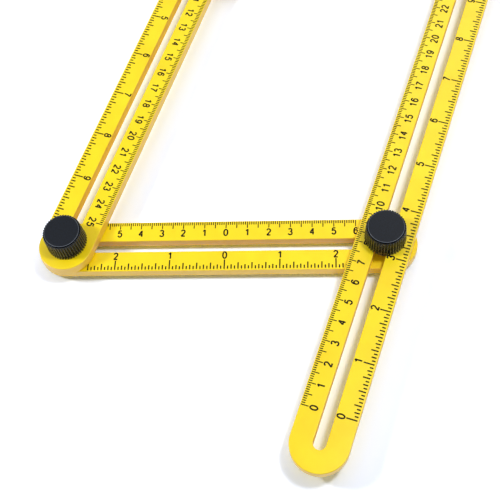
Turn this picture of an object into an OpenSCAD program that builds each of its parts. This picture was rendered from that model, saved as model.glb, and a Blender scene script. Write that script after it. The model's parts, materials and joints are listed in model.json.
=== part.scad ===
// Multi-angle folding ruler: two long and two short slotted arms, joined at four clamped pivots.
// The long arms lie along Y. Z = 0 is the surface that the four bolt heads stand on.

/* [Arms] */
// Width of every arm
arm_w = 25.5; // [20:0.5:40]
// Thickness of every arm
arm_t = 5.2; // [3:0.1:8]
// Break along the edges of the arms and of their slots
edge_break = 0.4; // [0.1:0.05:0.8]
// Length of the printed scale on a long arm
scale_len = 250; // [200:1:400]
// Zero mark to the centre of the slot's round end
scale_lead = 13.4; // [5:0.1:30]
// Last mark to the centre of the slot's other round end
scale_tail = 14.6; // [5:0.1:30]

/* [Rest pose] */
// Angle between long and short arms
fold_angle = 72.5; // [40:0.5:140]
// Distance between the two bolts of a short arm
short_span = 146; // [100:1:180]
// Near right bolt's place on the right arm's scale
near_mark = 85.2; // [40:0.1:120]
// Near left bolt to the centre of its slot end
end_gap = 1.6; // [0:0.1:10]

/* [Bolts] */
// Diameter of the bolt's shank
bolt_d = 5; // [4:0.1:6]
// Room between the shank and a slot's wall, each side
slot_play = 0.25; // [0.1:0.05:0.5]
// Diameter of the bolt's head
head_d = 14; // [10:0.5:18]
// Height of the bolt's head
head_t = 3; // [1.5:0.1:4]
// Rounded-off part of the head's lower edge
head_ease = 1; // [0.4:0.1:1.4]
// Room between the square neck and the slot's wall, each side
neck_play = 0.1; // [0.05:0.01:0.2]
// Neck's top below the top of the short arm
neck_drop = 0.4; // [0.2:0.1:1]

/* [Washers] */
// Diameter of the spacer between two arms
spacer_d = 13; // [10:0.5:22]
// Thickness of the spacer
spacer_t = 0.4; // [0.3:0.1:1.5]
// Diameter of the washer under a knob
cap_d = 14; // [11:0.5:15]
// Thickness of the washer under a knob
cap_t = 1; // [0.6:0.1:1.5]

/* [Knobs] */
// Diameter over the ribs at the bottom
knob_d = 18.8; // [18:0.1:24]
// Taper of the diameter from bottom to top
knob_taper = 1; // [0.4:0.1:1.2]
// Height of the knob
knob_h = 10.4; // [9.5:0.1:14]
// Diameter of the flat top
knob_top_d = 16.2; // [14:0.1:16.5]
// Height of the rim that leads up to the flat top
rim_h = 0.8; // [0.4:0.1:1.2]
// Number of grooves between the ribs
rib_count = 44; // [24:1:60]
// Diameter of one groove
groove_d = 0.8; // [0.4:0.05:0.9]
// Outside diameter of the threaded insert
insert_d = 8; // [7:0.1:9]
// Length of the threaded insert
insert_len = 6; // [4:0.1:7]
// Hollow above the insert, for the end of the shank
end_room = 1.2; // [0.8:0.1:1.6]

/* [Fits] */
// Gap between faces that are clamped together
face_gap = 0.05; // [0.02:0.01:0.1]
// Room between the shank and a bore that turns on it
bore_play = 0.08; // [0.05:0.01:0.1]
// Gap between a knob's skirt and the arm under it
skirt_gap = 0.15; // [0.1:0.05:0.4]
// Room round the washer in the knob's underside
recess_play = 0.2; // [0.1:0.05:0.4]
// Room round the insert in its pocket
insert_play = 0.02; // [0.01:0.01:0.05]

/* [Hidden] */

// Fineness of round shapes, and how far a cut runs past the face that it opens
fine = 96;
cut_over = 1;

// Slot, and the square neck that slides in it
slot_w = bolt_d + 2 * slot_play;
neck_w = slot_w - 2 * neck_play;
// Bore that turns on the shank
shank_bore = bolt_d + 2 * bore_play;
// The neck's corners stop short of the slot's round end by this much
neck_stop = neck_w / 2 - sqrt(pow(slot_w / 2, 2) - pow(neck_w / 2, 2)) + neck_play;

// Slot lengths between the centres of their round ends
long_run = scale_lead + scale_len + scale_tail;
short_run = short_span + 2 * neck_stop;

// Levels from the bolt heads upwards
short_z = head_t + face_gap;
spacer_z = short_z + arm_t + face_gap;
long_z = spacer_z + spacer_t + face_gap;
long_top = long_z + arm_t;
cap_z = long_top + face_gap;
knob_z = long_top + skirt_gap;
insert_z = cap_z + cap_t + face_gap;
shank_top = insert_z + insert_len + end_room / 2;
cavity_top = insert_z + insert_len + end_room;

// Plan of the frame: side along the long arms, side along the short arms, and the four pivots
side = scale_len + scale_tail - end_gap - near_mark;
long_dir = [0, 1];
short_dir = [sin(fold_angle), cos(fold_angle)];
short_turn = 90 - fold_angle;
near_left = -(short_span * short_dir + side * long_dir) / 2;
near_right = near_left + short_span * short_dir;
far_left = near_left + side * long_dir;
far_right = near_right + side * long_dir;

// Half of an arm's cross-section, from its middle plane outwards
module arm_half_section() {
    polygon([
        [0, 0],
        [arm_w / 2 - edge_break, 0],
        [arm_w / 2, edge_break],
        [arm_w / 2, arm_t - edge_break],
        [arm_w / 2 - edge_break, arm_t],
        [0, arm_t]
    ]);
}

// Half of a slot's cross-section, flared at both mouths
module slot_half_section() {
    flare = slot_w / 2 + edge_break + cut_over;
    polygon([
        [0, -cut_over],
        [flare, -cut_over],
        [slot_w / 2, edge_break],
        [slot_w / 2, arm_t - edge_break],
        [flare, arm_t + cut_over],
        [0, arm_t + cut_over]
    ]);
}

// A half section carried along Y for a length, and round at both ends. Give it one half section.
module run_with_round_ends(run) {
    rotate_extrude($fn = fine)
        children();
    translate([0, run, 0])
        rotate_extrude($fn = fine)
            children();
    translate([0, run, 0])
        rotate([90, 0, 0])
            linear_extrude(height = run) {
                children();
                mirror([1, 0])
                    children();
            }
}

// An arm along +Y from the centre of its slot's first round end, its own ends concentric with the slot's
module slotted_arm(run) {
    difference() {
        run_with_round_ends(run)
            arm_half_section();
        run_with_round_ends(run)
            slot_half_section();
    }
}

module long_arm(start) {
    translate([start[0], start[1], long_z])
        slotted_arm(long_run);
}

module short_arm(left_pivot) {
    translate([left_pivot[0], left_pivot[1], short_z])
        rotate([0, 0, -fold_angle])
            translate([0, -neck_stop, 0])
                slotted_arm(short_run);
}

module at_pivot(pivot) {
    translate([pivot[0], pivot[1], 0])
        children();
}

// Round head with an eased lower edge, square neck, plain shank
module clamp_bolt() {
    rotate_extrude($fn = fine)
        polygon([
            [0, 0],
            [head_d / 2 - head_ease, 0],
            [head_d / 2, head_ease],
            [head_d / 2, head_t],
            [0, head_t]
        ]);
    rotate([0, 0, short_turn])
        translate([-neck_w / 2, -neck_w / 2, 0])
            cube([neck_w, neck_w, short_z + arm_t - neck_drop]);
    cylinder(d = bolt_d, h = shank_top, $fn = fine);
}

// Flat ring that turns on the shank
module washer(outer_d, thickness, z) {
    translate([0, 0, z])
        difference() {
            cylinder(d = outer_d, h = thickness, $fn = fine);
            translate([0, 0, -cut_over])
                cylinder(d = shank_bore, h = thickness + 2 * cut_over, $fn = fine);
        }
}

// Upright ribs: a round bar with a groove between each pair of ribs
module ribbed_bar() {
    groove_ring = (knob_d - knob_taper) / 2;
    linear_extrude(height = knob_h)
        difference() {
            circle(d = knob_d, $fn = fine);
            for (i = [0 : rib_count - 1])
                rotate(i * 360 / rib_count)
                    translate([groove_ring, 0])
                        union() {
                            circle(d = groove_d, $fn = 24);
                            translate([0, -groove_d / 2])
                                square([knob_taper + cut_over, groove_d]);
                        }
        }
}

// Tapered outline that trims the ribs and leads them to the flat top
module knob_outline() {
    rotate_extrude($fn = fine)
        polygon([
            [0, 0],
            [knob_d / 2, 0],
            [(knob_d - knob_taper) / 2, knob_h - rim_h],
            [knob_top_d / 2, knob_h],
            [0, knob_h]
        ]);
}

// Knob shell: recess for the washer, pocket for the insert, hollow for the end of the shank
module clamp_knob() {
    difference() {
        translate([0, 0, knob_z])
            intersection() {
                ribbed_bar();
                knob_outline();
            }
        translate([0, 0, knob_z - cut_over])
            cylinder(d = cap_d + 2 * recess_play, h = insert_z - knob_z + cut_over, $fn = fine);
        translate([0, 0, insert_z - cut_over])
            cylinder(d = insert_d + 2 * insert_play, h = insert_len + cut_over, $fn = fine);
        translate([0, 0, insert_z])
            cylinder(d = shank_bore, h = cavity_top - insert_z, $fn = fine);
    }
}

module spacer(pivot) {
    at_pivot(pivot)
        washer(spacer_d, spacer_t, spacer_z);
}

module cap_washer(pivot) {
    at_pivot(pivot)
        washer(cap_d, cap_t, cap_z);
}

module insert_bush(pivot) {
    at_pivot(pivot)
        washer(insert_d, insert_len, insert_z);
}

module left_long_arm() {
    color("gold")
        long_arm(near_left - end_gap * long_dir);
}

module right_long_arm() {
    color("gold")
        long_arm(near_right - (near_mark + scale_lead) * long_dir);
}

module near_short_arm() {
    color("gold")
        short_arm(near_left);
}

module far_short_arm() {
    color("gold")
        short_arm(far_left);
}

module near_left_bolt() {
    color("silver")
        at_pivot(near_left)
            clamp_bolt();
}

module near_right_bolt() {
    color("silver")
        at_pivot(near_right)
            clamp_bolt();
}

module far_left_bolt() {
    color("silver")
        at_pivot(far_left)
            clamp_bolt();
}

module far_right_bolt() {
    color("silver")
        at_pivot(far_right)
            clamp_bolt();
}

module near_left_spacer() {
    color("dimgray")
        spacer(near_left);
}

module near_right_spacer() {
    color("dimgray")
        spacer(near_right);
}

module far_left_spacer() {
    color("dimgray")
        spacer(far_left);
}

module far_right_spacer() {
    color("dimgray")
        spacer(far_right);
}

module near_left_cap_washer() {
    color("silver")
        cap_washer(near_left);
}

module near_right_cap_washer() {
    color("silver")
        cap_washer(near_right);
}

module far_left_cap_washer() {
    color("silver")
        cap_washer(far_left);
}

module far_right_cap_washer() {
    color("silver")
        cap_washer(far_right);
}

module near_left_knob() {
    color("#20242A")
        at_pivot(near_left)
            clamp_knob();
}

module near_right_knob() {
    color("#20242A")
        at_pivot(near_right)
            clamp_knob();
}

module far_left_knob() {
    color("#20242A")
        at_pivot(far_left)
            clamp_knob();
}

module far_right_knob() {
    color("#20242A")
        at_pivot(far_right)
            clamp_knob();
}

module near_left_insert() {
    color("goldenrod")
        insert_bush(near_left);
}

module near_right_insert() {
    color("goldenrod")
        insert_bush(near_right);
}

module far_left_insert() {
    color("goldenrod")
        insert_bush(far_left);
}

module far_right_insert() {
    color("goldenrod")
        insert_bush(far_right);
}

left_long_arm();
right_long_arm();
near_short_arm();
far_short_arm();
near_left_bolt();
near_right_bolt();
far_left_bolt();
far_right_bolt();
near_left_spacer();
near_right_spacer();
far_left_spacer();
far_right_spacer();
near_left_cap_washer();
near_right_cap_washer();
far_left_cap_washer();
far_right_cap_washer();
near_left_knob();
near_right_knob();
far_left_knob();
far_right_knob();
near_left_insert();
near_right_insert();
far_left_insert();
far_right_insert();
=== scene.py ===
"""Multi-angle folding ruler: yellow slotted arms with printed scales, black clamp knobs, plated hardware."""
import json
import math

import bmesh
import bpy
from mathutils import Matrix, Quaternion, Vector


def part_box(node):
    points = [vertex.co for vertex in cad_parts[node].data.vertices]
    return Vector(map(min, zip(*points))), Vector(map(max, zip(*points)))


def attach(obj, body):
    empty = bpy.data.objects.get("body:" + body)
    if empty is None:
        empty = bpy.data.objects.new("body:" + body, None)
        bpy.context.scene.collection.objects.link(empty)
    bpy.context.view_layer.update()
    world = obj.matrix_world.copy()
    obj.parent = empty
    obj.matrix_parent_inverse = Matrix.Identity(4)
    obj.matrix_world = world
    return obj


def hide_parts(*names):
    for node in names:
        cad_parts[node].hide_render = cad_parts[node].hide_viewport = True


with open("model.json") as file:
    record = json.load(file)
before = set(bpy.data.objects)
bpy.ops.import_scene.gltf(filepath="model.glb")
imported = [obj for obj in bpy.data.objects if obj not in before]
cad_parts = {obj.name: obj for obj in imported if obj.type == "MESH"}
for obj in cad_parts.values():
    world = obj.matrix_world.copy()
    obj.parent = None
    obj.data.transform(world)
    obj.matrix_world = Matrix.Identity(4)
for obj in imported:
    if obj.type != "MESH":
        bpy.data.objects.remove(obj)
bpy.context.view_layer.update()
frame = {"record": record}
scene = bpy.context.scene
scene.view_settings.view_transform = "Standard"

# The object's sizes are in millimetres: a shape is modelled in them, and its place scales it to metres.
# The table and the lamps are in metres.
MM = 0.001

# Eased edges: where faces meet more sharply than so many degrees, with so many steps round the curve
SHARP = 50
BOLT_SHARP = 30
EDGE_STEPS = 3
RING_EDGE_STEPS = 2

# Arms
ARM_W = 25.5
ARM_EDGE = 0.4
SLOT_W = 5.5
END_STEPS = 40

# Printed scales: y runs from the middle of the arm to the centimetre edge
SCALE_LEAD = 13.4
INK_DEPTH = 0.02
INK_PROUD = 0.03
MM_PER_CM = 10
MM_PER_LONG_TICK = 5
LONG_CM = 25
SHORT_CM = 6
CM_TICK_START = ARM_W / 2 - ARM_EDGE
CM_TICK_PEN = 0.46
MM_TICK_END = 10.75
LONG_TICK_END = 9.0

# Inch scales, in sixteenths: a tick's end goes by the largest of these counts that divides its mark
INCH = 25.4
INCH_PARTS = 16
LONG_INCHES = 10
SHORT_INCH_PARTS = 40
INCH_TICK_START = -12.0
INCH_TICK_PEN = 0.6
INCH_TICK_ENDS = {16: -7.25, 8: -8.8, 4: -8.8, 2: -9.8, 1: -10.4}

# Digits: strokes on a box one unit high, drawn with a round pen. Their arcs step by so many degrees.
DIGIT_H = 3.2
DIGIT_W = 0.58
DIGIT_PITCH = 0.86
DIGIT_PEN = 0.7
DIGIT_PEN_STEPS = 1
DIGIT_ARC_STEP = 18
DIGIT_ARC_LEAST_STEPS = 4
CM_DIGIT_Y = 5.1
INCH_DIGIT_Y = -6.6

# Knobs: radii of the grip over one rib's pitch, from the middle of a groove, and their painted highlight
RIB_COUNT = 44
RIB_BASE = (8.5, 8.62, 9.38, 9.4, 9.38, 8.62)
RIB_TOP = (8.45, 8.58, 8.88, 8.9, 8.88, 8.58)
RIB_TOP_DROP = 0.8
RIB_END = (8.4, 8.42, 8.6, 8.62, 8.6, 8.42)
RIB_END_DROP = 0.5
RIB_PAINTED_HIGHLIGHT = 0.09
RIM_PAINTED_HIGHLIGHT = 1.0
GAP_R = 8.4
GAP_DEPTH = 1.2
DISC_R = 8.06
DISC_WALL_DROP = 0.24
DISC_FLAT_R = 7.84
DISC_EDGE = 0.2
RECESS_R = 7.2
RECESS_H = 0.95
POCKET_R = 4.02
POCKET_H = 6.95
HOLLOW_H = 8.15

# Bolts, washers, spacers and inserts
HEAD_R = 7.0
HEAD_T = 3.0
HEAD_EASE = 1.0
BOLT_EDGE = 0.25
SHANK_R = 2.5
NECK_W = 5.3
NECK_TOP = 7.85
BORE_R = 2.58
SPACER_EDGE = 0.2
WASHER_EDGE = 0.12
INSERT_EDGE = 0.2
TURN_STEPS = 96

# Points nearer than this are one point
SAME_POINT = 1e-5


def hex_colour(code):
    """Linear colour, with full alpha, of an sRGB hex value."""
    channels = [int(code[i:i + 2], 16) / 255 for i in (1, 3, 5)]
    return [c / 12.92 if c <= 0.04045 else ((c + 0.055) / 1.055) ** 2.4 for c in channels] + [1.0]


def add_node(tree, kind, inputs=None, stops=(), **settings):
    """Adds a node with these properties, and a value or another node's socket for each named input. On a
    colour ramp, each stop has a position and a hex colour."""
    node = tree.nodes.new(kind)
    for name, value in settings.items():
        setattr(node, name, value)
    for name, value in (inputs or {}).items():
        if isinstance(value, bpy.types.NodeSocket):
            tree.links.new(value, node.inputs[name])
        else:
            node.inputs[name].default_value = value
    for i, (position, code) in enumerate(stops):
        node.color_ramp.elements[i].position = position
        node.color_ramp.elements[i].color = hex_colour(code)
    return node


def new_material(name):
    """A material with an empty node tree, and that tree."""
    material = bpy.data.materials.new(name)
    material.use_nodes = True
    material.node_tree.nodes.clear()
    return material, material.node_tree


def per_feature(size):
    """Noise scale at which one feature is this many millimetres wide."""
    return 1 / (size * MM)


def seen_rays(tree):
    """Socket that is 1 for what is seen, straight, in a reflection or through glass, and 0 for light that
    falls on things."""
    path = add_node(tree, "ShaderNodeLightPath")
    straight_or_glossy = add_node(tree, "ShaderNodeMath", {0: path.outputs["Is Camera Ray"],
                                                           1: path.outputs["Is Glossy Ray"]},
                                  operation="MAXIMUM")
    seen = add_node(tree, "ShaderNodeMath", {0: straight_or_glossy.outputs[0],
                                             1: path.outputs["Is Transmission Ray"]}, operation="MAXIMUM")
    return seen.outputs[0]


# A wave texture draws this many rings to one unit of its scale
WAVE_RINGS = 20 / (2 * math.pi)


def satin_yellow_moulded_abs():
    # Injection-moulded ABS: bright satin faces with faint clouds where the melt flowed. The side walls get a
    # deeper golden tone, which is painted shade. Real mould grain is about 0.1 mm, drawn here at 0.9 mm to
    # show.
    material, tree = new_material("satin_yellow_moulded_abs")
    place = add_node(tree, "ShaderNodeTexCoord")
    facing = add_node(tree, "ShaderNodeSeparateXYZ", {"Vector": place.outputs["Normal"]})
    upright = add_node(tree, "ShaderNodeMath", {0: facing.outputs["Z"]}, operation="ABSOLUTE")
    face = add_node(tree, "ShaderNodeMapRange", {"Value": upright.outputs[0], "From Min": 0.55,
                                                 "From Max": 0.95}, interpolation_type="SMOOTHSTEP")
    clouds = add_node(tree, "ShaderNodeTexNoise", {"Vector": place.outputs["Object"],
                                                   "Scale": per_feature(16), "Detail": 3.0,
                                                   "Roughness": 0.55})
    grain = add_node(tree, "ShaderNodeTexNoise", {"Vector": place.outputs["Object"],
                                                  "Scale": per_feature(0.9), "Detail": 2.0})
    top = add_node(tree, "ShaderNodeValToRGB", {"Fac": clouds.outputs["Fac"]},
                   stops=((0.3, "#FDDA02"), (0.7, "#FFE60A")))
    # Painted shade: upright side walls take this deeper colour, mixed in by how steeply the face stands.
    painted_shade_wall = add_node(tree, "ShaderNodeValToRGB", {"Fac": clouds.outputs["Fac"]},
                    stops=((0.3, "#FBCA3A"), (0.7, "#FFD548")))
    colour = add_node(tree, "ShaderNodeMix", {"Factor": face.outputs["Result"], "A": painted_shade_wall.outputs["Color"],
                                              "B": top.outputs["Color"]}, data_type="RGBA")
    sheen = add_node(tree, "ShaderNodeMapRange", {"Value": grain.outputs["Fac"], "To Min": 0.26,
                                                  "To Max": 0.38})
    bump = add_node(tree, "ShaderNodeBump", {"Height": grain.outputs["Fac"], "Strength": 0.12,
                                             "Distance": 0.03 * MM})
    surface = add_node(tree, "ShaderNodeBsdfPrincipled", {
        "Base Color": colour.outputs["Result"], "Roughness": sheen.outputs["Result"],
        "Normal": bump.outputs["Normal"], "IOR": 1.53, "Specular IOR Level": 0.45})
    add_node(tree, "ShaderNodeOutputMaterial", {"Surface": surface.outputs["BSDF"]})
    return material


def pad_printed_ink():
    # Pad-printed epoxy ink: a flat brown-black film, a little thinner and browner in places.
    material, tree = new_material("pad_printed_ink")
    place = add_node(tree, "ShaderNodeTexCoord")
    cover = add_node(tree, "ShaderNodeTexNoise", {"Vector": place.outputs["Object"],
                                                  "Scale": per_feature(2.5), "Detail": 2.0})
    colour = add_node(tree, "ShaderNodeValToRGB", {"Fac": cover.outputs["Fac"]},
                      stops=((0.35, "#0C0803"), (0.75, "#1E1408")))
    surface = add_node(tree, "ShaderNodeBsdfPrincipled", {
        "Base Color": colour.outputs["Color"], "Roughness": 0.55, "IOR": 1.5,
        "Specular IOR Level": 0.15})
    add_node(tree, "ShaderNodeOutputMaterial", {"Surface": surface.outputs["BSDF"]})
    return material


def black_moulded_abs():
    # Moulded ABS with a spark-eroded skin: blue-black, dull on the flats and glossy on the sides. A paler
    # colour is painted round the top's rim and a little along the rib tops as a painted highlight. Its real
    # pits are about 0.1 mm, drawn here at 0.6 mm to show.
    material, tree = new_material("black_moulded_abs")
    place = add_node(tree, "ShaderNodeTexCoord")
    # Painted highlight: each point's share of the pale colour below, set on the rim and the rib tops.
    painted_highlight = add_node(tree, "ShaderNodeAttribute", attribute_name="painted_highlight")
    pits = add_node(tree, "ShaderNodeTexNoise", {"Vector": place.outputs["Object"],
                                                 "Scale": per_feature(0.6), "Detail": 3.0,
                                                 "Roughness": 0.6})
    skin = add_node(tree, "ShaderNodeValToRGB", {"Fac": pits.outputs["Fac"]},
                    stops=((0.35, "#050A12"), (0.75, "#0E1725")))
    colour = add_node(tree, "ShaderNodeMix", {"Factor": painted_highlight.outputs["Fac"], "A": skin.outputs["Color"],
                                              "B": hex_colour("#8A94A0")}, data_type="RGBA")
    facing = add_node(tree, "ShaderNodeSeparateXYZ", {"Vector": place.outputs["Normal"]})
    dullness = add_node(tree, "ShaderNodeMapRange", {"Value": facing.outputs["Z"], "From Min": 0.6,
                                                     "From Max": 0.95, "To Min": 0.16, "To Max": 0.34})
    bump = add_node(tree, "ShaderNodeBump", {"Height": pits.outputs["Fac"], "Strength": 0.35,
                                             "Distance": 0.05 * MM})
    surface = add_node(tree, "ShaderNodeBsdfPrincipled", {
        "Base Color": colour.outputs["Result"], "Roughness": dullness.outputs["Result"],
        "Normal": bump.outputs["Normal"], "IOR": 1.53, "Specular IOR Level": 0.25})
    add_node(tree, "ShaderNodeOutputMaterial", {"Surface": surface.outputs["BSDF"]})
    return material


def bright_zinc_plate():
    # Zinc-plated steel, plated in a tumbling barrel: pale bluish grey, bright and a little clouded.
    material, tree = new_material("bright_zinc_plate")
    place = add_node(tree, "ShaderNodeTexCoord")
    clouds = add_node(tree, "ShaderNodeTexNoise", {"Vector": place.outputs["Object"],
                                                   "Scale": per_feature(1.8), "Detail": 3.0})
    colour = add_node(tree, "ShaderNodeValToRGB", {"Fac": clouds.outputs["Fac"]},
                      stops=((0.3, "#AEB3B8"), (0.7, "#CCD0D4")))
    polish = add_node(tree, "ShaderNodeMapRange", {"Value": clouds.outputs["Fac"], "To Min": 0.22,
                                                   "To Max": 0.42})
    surface = add_node(tree, "ShaderNodeBsdfPrincipled", {
        "Base Color": colour.outputs["Color"], "Roughness": polish.outputs["Result"], "Metallic": 1.0})
    add_node(tree, "ShaderNodeOutputMaterial", {"Surface": surface.outputs["BSDF"]})
    return material


def turned_brass():
    # Free-cutting brass from the lathe: warm yellow metal with fine rings of tool marks. The real ones are
    # about 0.2 mm apart, drawn here at 0.6 mm to show.
    material, tree = new_material("turned_brass")
    place = add_node(tree, "ShaderNodeTexCoord")
    marks = add_node(tree, "ShaderNodeTexWave", {"Vector": place.outputs["Object"], "Distortion": 1.0,
                                                 "Scale": per_feature(0.6) / WAVE_RINGS},
                     bands_direction="Z")
    polish = add_node(tree, "ShaderNodeMapRange", {"Value": marks.outputs["Fac"], "To Min": 0.2,
                                                   "To Max": 0.38})
    surface = add_node(tree, "ShaderNodeBsdfPrincipled", {
        "Base Color": hex_colour("#E3C07A"), "Roughness": polish.outputs["Result"], "Metallic": 1.0})
    add_node(tree, "ShaderNodeOutputMaterial", {"Surface": surface.outputs["BSDF"]})
    return material


def black_moulded_nylon():
    # Moulded nylon: soft black and waxy, with paler scuffs left by the arms that turn on it.
    material, tree = new_material("black_moulded_nylon")
    place = add_node(tree, "ShaderNodeTexCoord")
    scuffs = add_node(tree, "ShaderNodeTexNoise", {"Vector": place.outputs["Object"],
                                                   "Scale": per_feature(1.2), "Detail": 3.0})
    colour = add_node(tree, "ShaderNodeValToRGB", {"Fac": scuffs.outputs["Fac"]},
                      stops=((0.4, "#232323"), (0.8, "#3A3A39")))
    surface = add_node(tree, "ShaderNodeBsdfPrincipled", {
        "Base Color": colour.outputs["Color"], "Roughness": 0.5, "IOR": 1.53})
    add_node(tree, "ShaderNodeOutputMaterial", {"Surface": surface.outputs["BSDF"]})
    return material


YELLOW_ABS = satin_yellow_moulded_abs()
INK = pad_printed_ink()
BLACK_ABS = black_moulded_abs()
ZINC = bright_zinc_plate()
BRASS = turned_brass()
NYLON = black_moulded_nylon()

BODY_OF = {node: body for body, nodes in frame["record"]["behaviour"]["bodies"].items() for node in nodes}


def place_at(x, y, z, turn=0.0):
    """Matrix that takes a shape in millimetres to a place in metres, turned about Z by so many radians."""
    return Matrix.Translation((x, y, z)) @ Matrix.Rotation(turn, 4, "Z") @ Matrix.Scale(MM, 4)


def break_edges(bm, width, segments, sharper_than=SHARP):
    """Rounds every edge whose two faces meet more sharply than so many degrees."""
    edges = [e for e in bm.edges if e.is_manifold and e.calc_face_angle() > math.radians(sharper_than)]
    bmesh.ops.bevel(bm, geom=edges, offset=width, offset_type="OFFSET", affect="EDGES", segments=segments,
                    profile=0.5, material=-1, clamp_overlap=True)


def add_piece(name, bm, place, material, node, stands_for=True):
    """Makes a piece of a modelled shape, with its place in its mesh. It rides with the CAD node's body."""
    bm.transform(place)
    mesh = bpy.data.meshes.new(name)
    bm.to_mesh(mesh)
    bm.free()
    mesh.materials.append(material)
    piece = bpy.data.objects.new(name, mesh)
    scene.collection.objects.link(piece)
    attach(piece, BODY_OF[node])
    if stands_for:
        mesh.shade_smooth()
        piece.modifiers.new("even_normals", "WEIGHTED_NORMAL").keep_sharp = True
        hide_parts(node)


def stadium(bm, width, run):
    """Closed loop of edges with round ends, from the origin along X."""
    loop = bmesh.ops.create_circle(bm, segments=2 * END_STEPS, radius=width / 2)["verts"]
    half_step = Matrix.Rotation(math.pi / (2 * END_STEPS), 3, "Z")
    bmesh.ops.rotate(bm, verts=loop, cent=(0, 0, 0), matrix=half_step)
    bmesh.ops.translate(bm, verts=[v for v in loop if v.co.x > 0], vec=(run, 0, 0))


def slotted_arm(node, start, turn, run):
    """Flat arm with round ends and a slot, in the place of its CAD node."""
    low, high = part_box(node)
    thickness = (high.z - low.z) / MM
    bm = bmesh.new()
    stadium(bm, ARM_W, run)
    stadium(bm, SLOT_W, run)
    bmesh.ops.bridge_loops(bm, edges=bm.edges[:])
    raised = bmesh.ops.extrude_face_region(bm, geom=bm.faces[:])["geom"]
    raised_verts = [g for g in raised if isinstance(g, bmesh.types.BMVert)]
    bmesh.ops.translate(bm, verts=raised_verts, vec=(0, 0, thickness))
    bmesh.ops.recalc_face_normals(bm, faces=bm.faces[:])
    break_edges(bm, ARM_EDGE, EDGE_STEPS)
    place = place_at(start.x, start.y, low.z, turn)
    add_piece(node + "_plate", bm, place, YELLOW_ABS, node)


def arc(x, y, rx, ry, first, last):
    """Points along part of an ellipse, from one angle to another."""
    steps = max(DIGIT_ARC_LEAST_STEPS, round(abs(last - first) / DIGIT_ARC_STEP))
    angles = [math.radians(first + (last - first) * i / steps) for i in range(steps + 1)]
    return [(x + rx * math.cos(a), y + ry * math.sin(a)) for a in angles]


SIX = [arc(0.29, 0.32, 0.25, 0.32, 0, 360), arc(0.31, 0.48, 0.27, 0.52, 40, 180) + [(0.04, 0.32)]]
DIGIT_STROKES = {
    "0": [arc(0.29, 0.5, 0.27, 0.5, 0, 360)],
    "1": [[(0.1, 0.74), (0.25, 0.85), (0.36, 0.99)], [(0.36, 1), (0.36, 0)]],
    "2": [arc(0.28, 0.72, 0.25, 0.28, 168, -38) + [(0.03, 0)], [(0.0, 0), (0.55, 0)]],
    "3": [arc(0.26, 0.75, 0.22, 0.25, 160, -90), arc(0.26, 0.26, 0.27, 0.26, 90, -165)],
    "4": [[(0.42, 0), (0.42, 1)], [(0.42, 0.98), (0.02, 0.3)], [(0.0, 0.3), (0.57, 0.3)]],
    "5": [[(0.51, 1), (0.13, 1)], [(0.13, 1), (0.06, 0.5)], arc(0.28, 0.33, 0.27, 0.33, 145, -160)],
    "6": SIX,
    "7": [[(0.02, 1), (0.55, 1)], [(0.55, 1), (0.39, 0.72), (0.27, 0.38), (0.21, 0)]],
    "8": [arc(0.29, 0.755, 0.21, 0.245, 0, 360), arc(0.29, 0.265, 0.26, 0.265, 0, 360)],
    "9": [[(DIGIT_W - x, 1 - y) for x, y in stroke] for stroke in SIX],
}


def digit_mesh(strokes):
    """Mesh of one digit, drawn as flattened pen strokes in the XY plane."""
    curve = bpy.data.curves.new("digit", "CURVE")
    curve.dimensions = "3D"
    curve.bevel_depth = DIGIT_PEN / 2
    curve.bevel_resolution = DIGIT_PEN_STEPS
    curve.use_fill_caps = True
    for points in strokes:
        spline = curve.splines.new("POLY")
        spline.use_cyclic_u = math.dist(points[0], points[-1]) < SAME_POINT
        if spline.use_cyclic_u:
            points = points[:-1]
        spline.points.add(len(points) - 1)
        for point, (x, y) in zip(spline.points, points):
            point.co = (x * DIGIT_H, y * DIGIT_H, 0, 1)
    holder = bpy.data.objects.new("digit", curve)
    mesh = bpy.data.meshes.new_from_object(holder)
    bpy.data.objects.remove(holder)
    bpy.data.curves.remove(curve)
    mesh.transform(Matrix.Diagonal((1, 1, 2 * INK_PROUD / DIGIT_PEN, 1)))
    return mesh


DIGIT_MESHES = {digit: digit_mesh(strokes) for digit, strokes in DIGIT_STROKES.items()}


def print_tick(bm, x, start, end, pen):
    """One printed line across the scale."""
    middle = Vector((x, (start + end) / 2, (INK_PROUD - INK_DEPTH) / 2))
    size = Matrix.Diagonal((pen, abs(end - start), INK_PROUD + INK_DEPTH, 1))
    bmesh.ops.create_cube(bm, size=1, matrix=Matrix.Translation(middle) @ size)


def print_number(bm, number, x, y):
    """A number centred on x, standing on y."""
    text = str(number)
    left = x - ((len(text) - 1) * DIGIT_PITCH + DIGIT_W) * DIGIT_H / 2
    for i, digit in enumerate(text):
        before = len(bm.verts)
        bm.from_mesh(DIGIT_MESHES[digit])
        bm.verts.ensure_lookup_table()
        bmesh.ops.translate(bm, verts=bm.verts[before:], vec=(left + i * DIGIT_PITCH * DIGIT_H, y, 0))


def print_scales(node, zero, turn, first_mm, last_mm, first_part, last_part):
    """Centimetre scale on one edge of an arm and inch scale on the other, from its zero mark along X."""
    bm = bmesh.new()
    for mark in range(first_mm, last_mm + 1):
        end = MM_TICK_END if mark % MM_PER_LONG_TICK else LONG_TICK_END
        print_tick(bm, mark, CM_TICK_START, end, CM_TICK_PEN)
        if mark % MM_PER_CM == 0:
            print_number(bm, abs(mark) // MM_PER_CM, mark, CM_DIGIT_Y)
    for part in range(first_part, last_part + 1):
        x = part * INCH / INCH_PARTS
        counts = max(parts for parts in INCH_TICK_ENDS if part % parts == 0)
        print_tick(bm, x, INCH_TICK_START, INCH_TICK_ENDS[counts], INCH_TICK_PEN)
        if part % INCH_PARTS == 0:
            print_number(bm, abs(part) // INCH_PARTS, x, INCH_DIGIT_Y)
    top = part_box(node)[1].z
    add_piece(node + "_scales", bm, place_at(zero.x, zero.y, top, turn), INK, node, stands_for=False)


def middle_of(node):
    """Middle of a CAD node's box."""
    low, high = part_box(node)
    return (low + high) / 2


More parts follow.
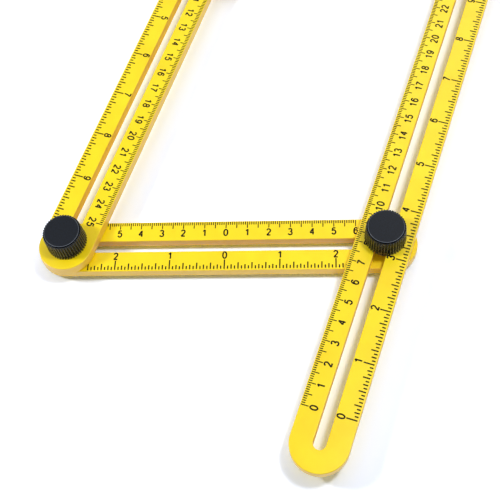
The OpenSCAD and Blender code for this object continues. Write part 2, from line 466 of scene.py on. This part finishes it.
def build_long_arm(node, turn):
    """Long arm along Y, with its zero mark at the end that the turn points away from."""
    low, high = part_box(node)
    middle = middle_of(node)
    run = (high.y - low.y) / MM - ARM_W
    along = Vector((math.cos(turn), math.sin(turn), 0))
    start = middle - along * run / 2 * MM
    slotted_arm(node, start, turn, run)
    zero = start + along * SCALE_LEAD * MM
    print_scales(node, zero, turn, 0, MM_PER_CM * LONG_CM, 0, INCH_PARTS * LONG_INCHES)


def build_short_arm(node, from_bolt, to_bolt):
    """Short arm along the line between two bolts, with its zero marks at its middle."""
    low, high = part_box(node)
    middle = middle_of(node)
    along = middle_of(to_bolt) - middle_of(from_bolt)
    turn = math.atan2(along.y, along.x)
    run = ((high.x - low.x) / MM - ARM_W) / abs(math.cos(turn))
    start = middle - along.normalized() * run / 2 * MM
    slotted_arm(node, start, turn, run)
    last_mm = MM_PER_CM * SHORT_CM
    print_scales(node, middle, turn, -last_mm, last_mm, -SHORT_INCH_PARTS, SHORT_INCH_PARTS)
    return turn


def next_ring(bm, ring, radii, height, painted_highlight=0.0):
    """Carries a ring of edges on to these radii, repeated round it, and a height. Returns the new ring."""
    made = bmesh.ops.extrude_edge_only(bm, edges=ring)["geom"]
    verts = [g for g in made if isinstance(g, bmesh.types.BMVert)]
    verts.sort(key=lambda v: math.atan2(v.co.y, v.co.x) % (2 * math.pi))
    # Points on the rib tops or the rim get this share of painted highlight; groove points get none.
    highlight_layer = bm.verts.layers.float["painted_highlight"]
    for i, v in enumerate(verts):
        radius = radii[i % len(radii)]
        v.co.xy = v.co.xy.normalized() * radius
        v.co.z = height
        v[highlight_layer] = painted_highlight * (radius >= sum(radii) / len(radii))
    return [g for g in made if isinstance(g, bmesh.types.BMEdge)]


def build_knob(node):
    """Clamp knob: ribbed tapered grip, bare top disc set in it with a narrow gap, hollows underneath."""
    low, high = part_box(node)
    middle = middle_of(node)
    height = (high.z - low.z) / MM
    bm = bmesh.new()
    bm.verts.layers.float.new("painted_highlight")
    bmesh.ops.create_circle(bm, segments=RIB_COUNT * len(RIB_BASE), radius=RECESS_R)
    inner = bm.edges[:]
    ring = next_ring(bm, inner, RIB_BASE, 0.0, RIB_PAINTED_HIGHLIGHT)
    ring = next_ring(bm, ring, RIB_TOP, height - RIB_TOP_DROP, RIB_PAINTED_HIGHLIGHT)
    ring = next_ring(bm, ring, RIB_END, height - RIB_END_DROP)
    ring = next_ring(bm, ring, (GAP_R,), height - GAP_DEPTH)
    ring = next_ring(bm, ring, (DISC_R,), height - GAP_DEPTH)
    ring = next_ring(bm, ring, (DISC_R,), height - DISC_WALL_DROP)
    # The top disc's rim gets the full painted highlight.
    rim = next_ring(bm, ring, (DISC_R,), height, RIM_PAINTED_HIGHLIGHT)
    ring = next_ring(bm, rim, (DISC_FLAT_R,), height)
    bmesh.ops.edgeloop_fill(bm, edges=ring)
    ring = next_ring(bm, inner, (RECESS_R,), RECESS_H)
    ring = next_ring(bm, ring, (POCKET_R,), RECESS_H)
    ring = next_ring(bm, ring, (POCKET_R,), POCKET_H)
    ring = next_ring(bm, ring, (BORE_R,), POCKET_H)
    ring = next_ring(bm, ring, (BORE_R,), HOLLOW_H)
    bmesh.ops.edgeloop_fill(bm, edges=ring)
    bmesh.ops.recalc_face_normals(bm, faces=bm.faces[:])
    bmesh.ops.bevel(bm, geom=rim, offset=DISC_EDGE, offset_type="OFFSET", affect="EDGES",
                    segments=EDGE_STEPS, profile=0.5, material=-1)
    add_piece(node + "_grip", bm, place_at(middle.x, middle.y, low.z), BLACK_ABS, node)


def turned(profile):
    """Shape spun about Z from a profile of radii and heights, closed unless it starts on the axis."""
    bm = bmesh.new()
    corners = [bm.verts.new((r, 0, z)) for r, z in profile]
    edges = [bm.edges.new(pair) for pair in zip(corners, corners[1:])]
    if profile[0][0] > 0:
        edges.append(bm.edges.new((corners[-1], corners[0])))
    bmesh.ops.spin(bm, geom=corners + edges, cent=(0, 0, 0), axis=(0, 0, 1), angle=2 * math.pi,
                   steps=TURN_STEPS, use_merge=True)
    bmesh.ops.remove_doubles(bm, verts=bm.verts[:], dist=SAME_POINT)
    bmesh.ops.recalc_face_normals(bm, faces=bm.faces[:])
    return bm


def build_ring(node, suffix, material, edge):
    """Washer, spacer or bush: a ring on the shank, with eased edges."""
    low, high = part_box(node)
    middle = middle_of(node)
    radius = (high.x - low.x) / 2 / MM
    height = (high.z - low.z) / MM
    bm = turned([(BORE_R, 0), (radius, 0), (radius, height), (BORE_R, height)])
    break_edges(bm, edge, RING_EDGE_STEPS)
    add_piece(node + suffix, bm, place_at(middle.x, middle.y, low.z), material, node)


def build_bolt(node, turn):
    """Clamp bolt: low eased head, square neck along its arm, plain shank."""
    low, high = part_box(node)
    middle = middle_of(node)
    height = (high.z - low.z) / MM
    bm = turned([(0, 0), (HEAD_R - HEAD_EASE, 0), (HEAD_R, HEAD_EASE), (HEAD_R, HEAD_T), (SHANK_R, HEAD_T),
                 (SHANK_R, height), (0, height)])
    break_edges(bm, BOLT_EDGE, EDGE_STEPS, BOLT_SHARP)
    neck_h = NECK_TOP - HEAD_T
    neck_size = Matrix.Diagonal((NECK_W, NECK_W, neck_h, 1))
    bmesh.ops.create_cube(bm, size=1, matrix=Matrix.Translation((0, 0, HEAD_T + neck_h / 2)) @ neck_size)
    add_piece(node + "_steel", bm, place_at(middle.x, middle.y, low.z, turn), ZINC, node)


build_long_arm("right_long_arm", math.pi / 2)
build_long_arm("left_long_arm", -math.pi / 2)
short_turn = build_short_arm("near_short_arm", "near_left_bolt", "near_right_bolt")
build_short_arm("far_short_arm", "far_right_bolt", "far_left_bolt")
for pivot in ("near_left", "near_right", "far_left", "far_right"):
    build_knob(pivot + "_knob")
    build_bolt(pivot + "_bolt", short_turn)
    build_ring(pivot + "_spacer", "_ring", NYLON, SPACER_EDGE)
    build_ring(pivot + "_cap_washer", "_ring", ZINC, WASHER_EDGE)
    build_ring(pivot + "_insert", "_bush", BRASS, INSERT_EDGE)
for mesh in DIGIT_MESHES.values():
    bpy.data.meshes.remove(mesh)

# Camera at the photograph's viewing angle, found from the printed marks
CAMERA_PLACE = Vector((109.13, -263.02, 393.0)) * MM
CAMERA_AIM = Vector((9.73, -84.13, 0)) * MM
CAMERA_ROLL = math.radians(-11.0)
CAMERA_SENSOR = 36
CAMERA_LENS = 68.061
CAMERA_NEAR = 10 * MM
camera_data = bpy.data.cameras.new("camera")
camera_data.sensor_width = CAMERA_SENSOR
camera_data.lens = CAMERA_LENS
camera_data.clip_start = CAMERA_NEAR
camera = bpy.data.objects.new("camera", camera_data)
camera.rotation_mode = "QUATERNION"
camera.location = CAMERA_PLACE
aim = (CAMERA_AIM - CAMERA_PLACE).to_track_quat("-Z", "Y")
camera.rotation_quaternion = aim @ Quaternion((0, 0, 1), CAMERA_ROLL)
scene.collection.objects.link(camera)
scene.camera = camera

# Table, a hair below the bolt heads. Its seen whites go by how far they are from the lamps' middle.
TABLE_SIDE = 8.0
TABLE_TOP = -0.00005
TABLE_WHITE = "#FAFAFA"
TABLE_SEEN_NEAR = (1.1, 1.18, 1.38, 1.0)
TABLE_SEEN_FAR = (1.6, 1.6, 1.6, 1.0)
LIT_MIDDLE = (0, -0.06, 0)
NEAR_REACH = 0.2
FAR_REACH = 0.3
PLAIN_REACH = 0.5


def matt_white_paper():
    # Matt white studio paper: it takes the object's shadows. Near the middle of the lamps' light its seen
    # white is a cool one, so that light thrown back by the yellow arms leaves the shadows grey. Further out,
    # where the lamps reach less, it is brighter, and then plain white.
    material, tree = new_material("matt_white_paper")
    seen = seen_rays(tree)
    place = add_node(tree, "ShaderNodeTexCoord")
    from_middle = add_node(tree, "ShaderNodeVectorMath", {0: place.outputs["Object"], 1: LIT_MIDDLE},
                           operation="DISTANCE")
    outward = add_node(tree, "ShaderNodeMapRange", {
        "Value": from_middle.outputs["Value"], "From Min": NEAR_REACH, "From Max": FAR_REACH},
        interpolation_type="SMOOTHSTEP")
    seen_white = add_node(tree, "ShaderNodeMix", {"Factor": outward.outputs["Result"], "A": TABLE_SEEN_NEAR,
                                                  "B": TABLE_SEEN_FAR}, data_type="RGBA")
    colour = add_node(tree, "ShaderNodeMix", {"Factor": seen, "A": hex_colour(TABLE_WHITE),
                                              "B": seen_white.outputs["Result"]}, data_type="RGBA")
    paper = add_node(tree, "ShaderNodeBsdfDiffuse", {"Color": colour.outputs["Result"]})
    far_out = add_node(tree, "ShaderNodeMapRange", {
        "Value": from_middle.outputs["Value"], "From Min": FAR_REACH, "From Max": PLAIN_REACH,
        "To Max": seen}, interpolation_type="SMOOTHSTEP")
    plain = add_node(tree, "ShaderNodeEmission", {"Color": (1, 1, 1, 1), "Strength": 1.0})
    blend = add_node(tree, "ShaderNodeMixShader", {0: far_out.outputs["Result"], 1: paper.outputs["BSDF"],
                                                   2: plain.outputs["Emission"]})
    add_node(tree, "ShaderNodeOutputMaterial", {"Surface": blend.outputs["Shader"]})
    return material


bm = bmesh.new()
bmesh.ops.create_grid(bm, x_segments=1, y_segments=1, size=TABLE_SIDE / 2,
                      matrix=Matrix.Translation((0, 0, TABLE_TOP)))
table_mesh = bpy.data.meshes.new("table")
bm.to_mesh(table_mesh)
bm.free()
table_mesh.materials.append(matt_white_paper())
table = bpy.data.objects.new("table", table_mesh)
scene.collection.objects.link(table)

# Studio: levels of its ceiling and walls. An edge, where one fades into the other, is a pair of cosines, from
# the ceiling's middle for the light it gives and from straight up for what is seen.
CEILING_MIDDLE = (0, 0.3, 0.954)
CEILING_EDGE = (0.6, 0.85)
CEILING_LEVEL = 0.62
WALL_LEVEL = 0.04
CEILING_SEEN_EDGE = (0.74, 0.9)
CEILING_SEEN_LEVEL = 0.35
WALL_SEEN_LEVEL = 1.0


def white_studio():
    # An even ceiling that leans to the back gives the soft light, over walls that give little. Where they
    # are seen, straight or in a reflection, the walls are white and the ceiling is dimmer.
    world = bpy.data.worlds.new("white_studio")
    world.use_nodes = True
    tree = world.node_tree
    tree.nodes.clear()
    place = add_node(tree, "ShaderNodeTexCoord")
    overhead = add_node(tree, "ShaderNodeVectorMath", {0: place.outputs["Generated"], 1: CEILING_MIDDLE},
                        operation="DOT_PRODUCT")
    light_level = add_node(tree, "ShaderNodeMapRange", {
        "Value": overhead.outputs["Value"], "From Min": CEILING_EDGE[0], "From Max": CEILING_EDGE[1],
        "To Min": WALL_LEVEL, "To Max": CEILING_LEVEL}, interpolation_type="SMOOTHSTEP")
    upward = add_node(tree, "ShaderNodeSeparateXYZ", {"Vector": place.outputs["Generated"]})
    seen_level = add_node(tree, "ShaderNodeMapRange", {
        "Value": upward.outputs["Z"], "From Min": CEILING_SEEN_EDGE[0], "From Max": CEILING_SEEN_EDGE[1],
        "To Min": WALL_SEEN_LEVEL, "To Max": CEILING_SEEN_LEVEL}, interpolation_type="SMOOTHSTEP")
    level = add_node(tree, "ShaderNodeMix", {"Factor": seen_rays(tree), "A": light_level.outputs["Result"],
                                             "B": seen_level.outputs["Result"]}, data_type="FLOAT")
    room = add_node(tree, "ShaderNodeBackground", {"Color": (1, 1, 1, 1),
                                                   "Strength": level.outputs["Result"]})
    add_node(tree, "ShaderNodeOutputWorld", {"Surface": room.outputs["Background"]})
    return world


scene.world = white_studio()

# Lamps, placed by the photograph's shadows: each gives the table's middle this share of full light
LAMPS = {
    "lamp_right": {"place": (0.225, -0.01, 0.6), "width": 0.09, "share": 0.36},
    "lamp_left": {"place": (-0.401, -0.215, 0.46), "width": 0.09, "share": 0.27},
    "lamp_behind": {"place": (0.025, 0.5, 0.5), "width": 0.5, "share": 0.13},
    "lamp_front": {"place": (0.28, -0.885, 0.375), "width": 0.5, "share": 0.035},
}
for name, lamp in LAMPS.items():
    toward = Vector(lamp["place"])
    full_power = math.pi ** 2 * toward.length ** 3 / toward.z
    light = bpy.data.lights.new(name, "AREA")
    light.size = lamp["width"]
    light.energy = lamp["share"] * full_power
    holder = bpy.data.objects.new(name, light)
    holder.location = toward
    holder.visible_camera = False
    holder.rotation_mode = "QUATERNION"
    holder.rotation_quaternion = toward.to_track_quat("Z", "Y")
    scene.collection.objects.link(holder)
